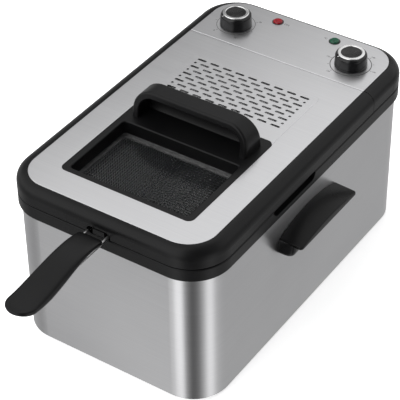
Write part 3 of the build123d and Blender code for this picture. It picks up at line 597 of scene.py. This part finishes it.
def make_basket_grip():
    """The moulded handle: sections from the wires to a round tip, flat above and deep below.

    Upper and lower half of a section each follow |x/w|^n + |z/h|^n = 1, with
    a large n for the flat top and a small one for the round belly. The top
    and belly follow smooth curves along the handle. Towards the tip the width
    shrinks along a half circle, and the lower half with its root.
    """
    length = handle_high.y - handle_low.y
    reach = length * np.sin(np.linspace(0, 1, HANDLE_ROWS) * TURN / 4)
    top_places = np.array([0, 33, 73, 101, 123]) / 123 * length
    belly_places = np.array([0, 45, 81, 103, 123]) / 123 * length
    top = through(top_places, np.array([189, 193, 188, 184.5, 185.5]) * MM)(reach)
    belly = through(belly_places, np.array([180, 178, 171, 172.5, 179]) * MM)(reach)
    full = np.interp(reach, [0, 33 * MM, 83 * MM, length], np.array([14.3, 14.8, 16.4, 16.4]) * MM)
    from_tip = np.clip(length - reach, 0, GRIP_TIP)
    taper = np.sqrt(np.clip(1 - (1 - from_tip / GRIP_TIP) ** 2, 0.0004, 1))
    heel = 1 - 0.1 * (1 - np.sqrt(1 - (1 - np.clip(reach / (2 * MM), 0, 1)) ** 2))
    width = full * taper * heel
    level = belly + 0.72 * (top - belly)
    upper = (top - level) * np.sqrt(np.clip(from_tip / (1.5 * MM), 0.04, 1)) * heel
    lower = (level - belly) * np.sqrt(taper) * heel
    angle = (np.arange(HANDLE_SIDES) + 0.5) / HANDLE_SIDES * TURN
    above = np.sin(angle) > 0
    power = np.where(above, 2 / FLAT_TOP, 2 / ROUND_BELLY)
    across = np.sign(np.cos(angle)) * np.abs(np.cos(angle)) ** power
    upward = np.sign(np.sin(angle)) * np.abs(np.sin(angle)) ** power
    x = width[:, None] * across
    z = level[:, None] + np.where(above, upper[:, None], lower[:, None]) * upward
    y = np.broadcast_to((handle_high.y - reach)[:, None], x.shape)
    return np.stack([x, y, z], -1), capped_faces(HANDLE_ROWS, HANDLE_SIDES)


basket_grip = add_piece("basket_grip", *make_basket_grip(), finishes["grip_black"], "basket", "grip_black")
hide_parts("basket_handle")


# ---- side handles -----------------------------------------------------------

PLATE_CORNER = 4 * MM
PLATE_EDGE = 1.0 * MM
PLATE_UNDERSIDE = 129.5 * MM
BOSS_WIDTH = 22 * MM
BOSS_REACH = 18 * MM
BOSS_ROUND = 12 * MM
BOSS_END_ROUND = 4 * MM
BOSS_EDGE = 0.8 * MM
PLATE_EDGE_ROUND = 1.2 * MM


def corner_fall(distance, radius):
    """How far a round corner falls back at a distance from the end."""
    left = np.clip(radius - distance, 0, radius)
    return radius - np.sqrt(radius**2 - left**2)


def make_grip_plate(side):
    """The finger plate: four-cornered sections carried along the housing's side.

    The top rises as a circle's arc, more at the wall than at the edge; the
    outer edge falls back at both ends along a quarter circle, and the whole
    section shrinks over the last stretch to round the ends.
    """
    low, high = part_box("side_handle_right")
    share = (1 - np.cos(np.linspace(0, 1, 81) * TURN / 2)) / 2
    y = low.y + share * (high.y - low.y)
    from_end = np.minimum(y - low.y, high.y - y)
    bow = 1 - (2 * share - 1) ** 2
    inner_top = 134 * MM + 9.5 * MM * bow
    outer_top = 132.5 * MM + 5.5 * MM * bow
    outer_x = high.x - corner_fall(from_end, PLATE_CORNER)
    inset = corner_fall(from_end, PLATE_EDGE)
    inner_x = np.full(len(y), low.x)
    under = np.full(len(y), PLATE_UNDERSIDE) + inset
    corners = np.stack([
        np.stack([inner_x, y, under], -1),
        np.stack([outer_x - inset, y, under], -1),
        np.stack([outer_x - inset, y, outer_top - inset], -1),
        np.stack([inner_x, y, inner_top - inset], -1),
    ], 1)
    points = rounded_quads(corners, PLATE_EDGE_ROUND, 5)
    points[..., 0] *= side
    faces = capped_faces(len(y), points.shape[1])
    return points, faces if side < 0 else [face[::-1] for face in faces]


def make_grip_boss(side, y_middle):
    """A bracket under the plate: a section that rounds outwards from the wall, carried along the housing.

    The section has one large round corner, away from wall and plate, and it
    shrinks along a quarter circle at both ends of the bracket.
    """
    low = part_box("side_handle_right")[0]
    share = (1 - np.cos(np.linspace(0, 1, 31) * TURN / 2)) / 2
    y = y_middle + (share - 0.5) * BOSS_WIDTH
    inset = corner_fall(np.minimum(share, 1 - share) * BOSS_WIDTH, BOSS_END_ROUND)
    inner_x = np.full(len(y), low.x)
    outer_x = low.x + BOSS_REACH - inset
    bottom = low.z + inset
    top = np.full(len(y), PLATE_UNDERSIDE + 1 * MM)
    corners = np.stack([
        np.stack([inner_x, y, bottom], -1),
        np.stack([outer_x, y, bottom], -1),
        np.stack([outer_x, y, top], -1),
        np.stack([inner_x, y, top], -1),
    ], 1)
    radius = np.array([BOSS_EDGE, BOSS_ROUND, BOSS_EDGE, BOSS_EDGE])[None, :, None]
    points = rounded_quads(corners, radius, 9)
    points[..., 0] *= side
    faces = capped_faces(len(y), points.shape[1])
    return points, faces if side < 0 else [face[::-1] for face in faces]


grip_finish = finishes["grip_black"]
for side, hand in ((1, "right"), (-1, "left")):
    part_name = "side_handle_" + hand
    low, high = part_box(part_name)
    points, faces = make_grip_plate(side)
    plate = add_piece("grip_plate_" + hand, points, faces, grip_finish, "base", "grip_black")
    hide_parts(part_name)
    for end, y_middle in (("front", low.y + BOSS_WIDTH / 2), ("back", high.y - BOSS_WIDTH / 2)):
        boss_name = "grip_boss_" + hand + "_" + end
        add_piece(boss_name, *make_grip_boss(side, y_middle), grip_finish, "base", "grip_black")


# ---- printed marks, and a ring of painted shade round the thermostat --------

PRINT_HEIGHT = 0.06 * MM
PRINT_WIDTH = 0.45 * MM
RING_STEPS = 120
TICK_GAP = 1.2 * MM
TICK_LENGTH = 1.8 * MM
NUMBER_GAP = 4.6 * MM
REST_ANGLE = 240
LAMP_RING_RADIUS = 6.0 * MM
LAMP_RING_WIDTH = 1.1 * MM
LAMP_RING_HEIGHT = 0.4 * MM
SIGN_SHIFT = 11.5 * MM
POINTER_START = 15.0 * MM
POINTER_END = 17.2 * MM
POINTER_WIDTH = 0.9 * MM

panel_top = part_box("control_panel")[1].z


def make_ring(centre, radius, width, base, height):
    """A flat ring: a small box section carried round a circle."""
    angle = np.arange(RING_STEPS) / RING_STEPS * TURN
    reach = radius + np.array([-0.5, 0.5, 0.5, -0.5]) * width
    level = base + np.array([-0.5, -0.5, 1, 1]) * height
    x = centre.x + np.cos(angle)[:, None] * reach
    y = centre.y + np.sin(angle)[:, None] * reach
    z = np.broadcast_to(level, x.shape)
    return np.stack([x, y, z], -1), grid_faces(RING_STEPS, 4, True)[:, ::-1].tolist()


def make_bars(centre, angles, start, end, width, base, height):
    """Radial ticks: boxes from one radius to another at each angle."""
    corner = np.array([(i, j, k) for i in (0, 1) for j in (-0.5, 0.5) for k in (-0.5, 1)], float)
    reach = start + corner[:, 0] * (end - start)
    sideways = corner[:, 1] * width
    cosine = np.cos(angles)[:, None]
    sine = np.sin(angles)[:, None]
    x = centre.x + cosine * reach - sine * sideways
    y = centre.y + sine * reach + cosine * sideways
    z = np.broadcast_to(base + corner[:, 2] * height, x.shape)
    box_faces = [(0, 1, 3, 2), (4, 6, 7, 5), (0, 4, 5, 1), (2, 3, 7, 6), (0, 2, 6, 4), (1, 5, 7, 3)]
    faces = [[c + 8 * bar for c in face] for bar in range(len(angles)) for face in box_faces]
    return np.stack([x, y, z], -1), faces


def add_number(name, text, place, height):
    """A small raised number or sign on the control head, drawn as text and turned into a mesh."""
    curve = bpy.data.curves.new(name, "FONT")
    curve.body = text
    curve.size = height
    curve.extrude = PRINT_HEIGHT / 2
    curve.align_x = "CENTER"
    curve.align_y = "CENTER"
    curve.resolution_u = 3
    drawn = bpy.data.objects.new(name + "_drawn", curve)
    mesh = bpy.data.meshes.new_from_object(drawn)
    bpy.data.objects.remove(drawn)
    mesh.name = name
    mesh.transform(Matrix.Translation(place))
    mesh.materials.clear()
    mesh.materials.append(ink_and_seat_shade)
    piece = bpy.data.objects.new(name, mesh)
    bpy.context.scene.collection.objects.link(piece)
    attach(piece, "head")


def around_dial(centre, radius, angle):
    """A point on the panel at an angle and distance from a dial's middle."""
    x = centre.x + radius * np.cos(angle)
    y = centre.y + radius * np.sin(angle)
    return Vector((x, y, panel_top + PRINT_HEIGHT / 2))


def add_dial(name, centre, ring_radius, ring_width, angles, labels, label_size=3.4 * MM):
    """A dial: its ring, a tick at each angle and a number outside each labelled tick."""
    # On the thermostat this dark ring is painted shade: it stands for the shaded edge of the knob's sunken
    # seat.
    ring = make_ring(centre, ring_radius, ring_width, panel_top, PRINT_HEIGHT)
    add_piece(name + "_ring", *ring, ink_and_seat_shade, "head", "black_satin")
    start = ring_radius + TICK_GAP
    ticks = make_bars(centre, angles, start, start + TICK_LENGTH, PRINT_WIDTH, panel_top, PRINT_HEIGHT)
    add_piece(name + "_ticks", *ticks, ink_and_seat_shade, "head", "black_satin")
    for angle, label in zip(angles[::2], labels):
        add_number(name + "_" + label, label, around_dial(centre, start + NUMBER_GAP, angle), label_size)


timer_angles = (REST_ANGLE - 50 * np.arange(7)) * DEGREE
heat_angles = (REST_ANGLE - 30 * np.arange(9)) * DEGREE
minutes = ["0", "10", "20", "30"]
celsius = ["130", "150", "170", "180", "190"]
add_dial("timer_dial", timer_middle, 21.6 * MM, PRINT_WIDTH, timer_angles, minutes)
# The thermostat's ring is wide and dark as painted shade of the knob seat's edge, not as print.
add_dial("heat_dial", thermostat_middle, 22.4 * MM, 0.8 * MM, heat_angles, celsius, 3 * MM)

for lamp, sign, shift in (("red_lamp_lens", "ON", SIGN_SHIFT), ("green_lamp_lens", "\u00b0C", -SIGN_SHIFT)):
    lamp_middle = middle(lamp)
    bezel = make_ring(lamp_middle, LAMP_RING_RADIUS, LAMP_RING_WIDTH, panel_top, LAMP_RING_HEIGHT)
    add_piece(lamp + "_bezel", *bezel, ink_and_seat_shade, "head", "black_satin")
    place = Vector((lamp_middle.x + shift, lamp_middle.y, panel_top + PRINT_HEIGHT / 2))
    add_number(lamp + "_sign", sign, place, 4 * MM)

pointer_angle = np.array([REST_ANGLE * DEGREE])
for knob, centre in (("timer_knob", timer_middle), ("thermostat_knob", thermostat_middle)):
    knob_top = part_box(knob)[1].z
    pointer = make_bars(
        centre, pointer_angle, POINTER_START, POINTER_END, POINTER_WIDTH, knob_top, PRINT_HEIGHT
    )
    add_piece(knob + "_pointer", *pointer, pale_ink, knob, "knob_cap")


# ---- room, light and camera -------------------------------------------------


# Compass direction in degrees, with 0 to the right and -90 to the front, and brightness.
BANDS = [
    (-180, 0.45), (-150, 0.34), (-128, 0.46), (-114, 0.75), (-103, 1.4), (-88, 1.5), (-78, 0.35),
    (-60, 0.1), (-42, 0.2), (-26, 0.6), (-13, 1.35), (-3, 1.35), (10, 0.7), (30, 0.55), (60, 0.5),
    (120, 0.6), (180, 0.45),
]
UPPER_BANDS = [
    (-180, 1.0), (-140, 1.8), (-105, 2.0), (-85, 2.0), (-68, 0.2), (-30, 0.15), (0, 0.5), (40, 0.45),
    (90, 0.7), (140, 1.1), (180, 1.0),
]


def make_room():
    """A pale floor under the fryer, with a little glow of its own; shiny surfaces don't see it."""
    finish = Finish("room_floor_pale", grey(0.93), 0.8, Emission_Strength=0.6)
    finish.shader.inputs["Emission Color"].default_value = (1, 1, 1, 1)
    paint = finish.mottle((6, 6, 6), 2.0)
    finish.colours(paint, grey(0.925), grey(0.935))
    finish.roughness(paint, 0.75, 0.85)
    mesh = bpy.data.meshes.new("room_floor")
    reach = 6.0
    corners = [(-reach, -reach, 0), (reach, -reach, 0), (reach, reach, 0), (-reach, reach, 0)]
    mesh.from_pydata(corners, [], [(0, 1, 2, 3)])
    mesh.materials.append(finish.material)
    floor = bpy.data.objects.new("room_floor", mesh)
    floor.visible_glossy = False
    bpy.context.scene.collection.objects.link(floor)


def ramp(tree, value, stops):
    """Brightness that goes evenly from stop to stop; each stop is a place from 0 to 1 and a level."""
    made = tree.nodes.new("ShaderNodeValToRGB")
    elements = made.color_ramp.elements
    while len(elements) < len(stops):
        elements.new(0.5)
    for element, (place, level) in zip(elements, stops):
        element.position = place
        element.color = (level / 2, level / 2, level / 2, 1)
    tree.links.new(value, made.inputs["Fac"])
    return made.outputs["Color"]


def calculate(tree, operation, first, second=None, third=None):
    """A sum, product or the like of outputs and fixed numbers."""
    made = tree.nodes.new("ShaderNodeMath")
    made.operation = operation
    for socket, value in zip(made.inputs, (first, second, third)):
        if isinstance(value, float):
            socket.default_value = value
        elif value is not None:
            tree.links.new(value, socket)
    return made.outputs["Value"]


def make_studio():
    """Studio walls as the metal sees them: pale all round, with dark and bright bands towards the front.

    The brightness depends on the compass direction, in one way under the
    horizon and in another over it. The camera itself sees plain white.
    """
    world = bpy.data.worlds.new("studio")
    world.use_nodes = True
    tree = world.node_tree
    source = tree.nodes.new("ShaderNodeTexCoord")
    split = tree.nodes.new("ShaderNodeSeparateXYZ")
    tree.links.new(source.outputs["Generated"], split.inputs["Vector"])
    compass = calculate(tree, "ARCTAN2", split.outputs["Y"], split.outputs["X"])
    compass = calculate(tree, "MULTIPLY_ADD", compass, 1 / TURN, 0.5)
    stops = [(direction / 360 + 0.5, level) for direction, level in BANDS]
    walls = ramp(tree, compass, stops)
    ceiling = ramp(tree, compass, [(direction / 360 + 0.5, level) for direction, level in UPPER_BANDS])
    over = calculate(tree, "MULTIPLY_ADD", split.outputs["Z"], 5.0, 0.3)
    over.node.use_clamp = True
    mixer = tree.nodes.new("ShaderNodeMix")
    mixer.data_type = "RGBA"
    tree.links.new(over, mixer.inputs["Factor"])
    tree.links.new(walls, mixer.inputs[6])
    tree.links.new(ceiling, mixer.inputs[7])
    path = tree.nodes.new("ShaderNodeLightPath")
    plain = tree.nodes.new("ShaderNodeMix")
    plain.data_type = "RGBA"
    tree.links.new(path.outputs["Is Camera Ray"], plain.inputs["Factor"])
    tree.links.new(mixer.outputs[2], plain.inputs[6])
    plain.inputs[7].default_value = (0.5, 0.5, 0.5, 1)
    background = tree.nodes["Background"]
    tree.links.new(plain.outputs[2], background.inputs["Color"])
    background.inputs["Strength"].default_value = 2.0
    bpy.context.scene.world = world


def add_reflector(name, corners, direction, stops):
    """A glowing card that only shows in shiny surfaces; its brightness changes along a direction in plan."""
    material = bpy.data.materials.new(name)
    material.use_nodes = True
    tree = material.node_tree
    tree.nodes.remove(tree.nodes["Principled BSDF"])
    source = tree.nodes.new("ShaderNodeTexCoord")
    along = tree.nodes.new("ShaderNodeVectorMath")
    along.operation = "DOT_PRODUCT"
    along.inputs[1].default_value = (*direction, 0)
    tree.links.new(source.outputs["Object"], along.inputs[0])
    glow = tree.nodes.new("ShaderNodeEmission")
    glow.inputs["Strength"].default_value = 2.0
    share = calculate(tree, "MULTIPLY_ADD", along.outputs["Value"], 0.5, 0.5)
    tree.links.new(ramp(tree, share, stops), glow.inputs["Color"])
    tree.links.new(glow.outputs["Emission"], tree.nodes["Material Output"].inputs["Surface"])
    material.cycles.emission_sampling = "NONE"
    mesh = bpy.data.meshes.new(name)
    mesh.from_pydata(corners, [], [(0, 1, 2, 3)])
    mesh.materials.append(material)
    card = bpy.data.objects.new(name, mesh)
    card.visible_camera = False
    card.visible_diffuse = False
    card.visible_transmission = False
    card.visible_shadow = False
    bpy.context.scene.collection.objects.link(card)


def add_softbox(name, place, target, width, height, power):
    """A rectangular soft light that faces a point."""
    light = bpy.data.lights.new(name, "AREA")
    light.shape = "RECTANGLE"
    light.size = width
    light.size_y = height
    light.energy = power
    lamp = bpy.data.objects.new(name, light)
    lamp.location = place
    lamp.rotation_euler = (Vector(target) - Vector(place)).to_track_quat("-Z", "Y").to_euler()
    lamp.visible_camera = False
    lamp.visible_glossy = False
    bpy.context.scene.collection.objects.link(lamp)


def make_camera():
    """A long lens from the front right and above."""
    camera = bpy.data.objects.new("camera", bpy.data.cameras.new("camera"))
    right = Vector((0.83107, 0.55606, -0.010975))
    upward = Vector((-0.341075, 0.525147, 0.779672))
    forward = Vector((-0.439309, 0.644218, -0.626092))
    turned = Matrix((right, upward, -forward)).transposed().to_4x4()
    place = Vector((0.78421, housing_middle.y - 1.18062, 1.22531))
    camera.matrix_world = Matrix.Translation(place) @ turned
    camera.data.sensor_width = 36
    camera.data.lens = 151.18
    camera.data.clip_end = 30
    bpy.context.scene.collection.objects.link(camera)
    bpy.context.scene.camera = camera


make_room()
make_studio()
wide = 3.0
# A ceiling over the back half, and a bright ridge below the floor for the housing's front.
add_reflector(
    "ceiling_card",
    [(-wide, 0.12, 0.7), (wide, 0.12, 0.7), (wide, wide, 0.7), (-wide, wide, 0.7)],
    (0.8, -0.35),
    [(0.0, 0.25), (0.195, 0.3), (0.25, 1.15), (0.7, 1.15), (1.0, 1.0)],
)
add_reflector(
    "front_card",
    [(-0.432, -0.605, -0.25), (0.09, -0.311, -0.25), (0.022, -0.189, -0.25), (-0.5, -0.483, -0.25)],
    (-0.49, 0.87),
    [(0.3425, 0.42), (0.364, 0.46), (0.3775, 1.5), (0.391, 0.46), (0.4125, 0.42)],
)
add_softbox("softbox_above", (-0.9, 0.7, 1.5), (0, 0, 0.15), 1.3, 1.1, 12)
add_softbox("softbox_front", (-0.5, -1.7, 0.9), (0, 0, 0.1), 1.2, 0.9, 4)
make_camera()
bpy.context.scene.view_settings.view_transform = "Standard"
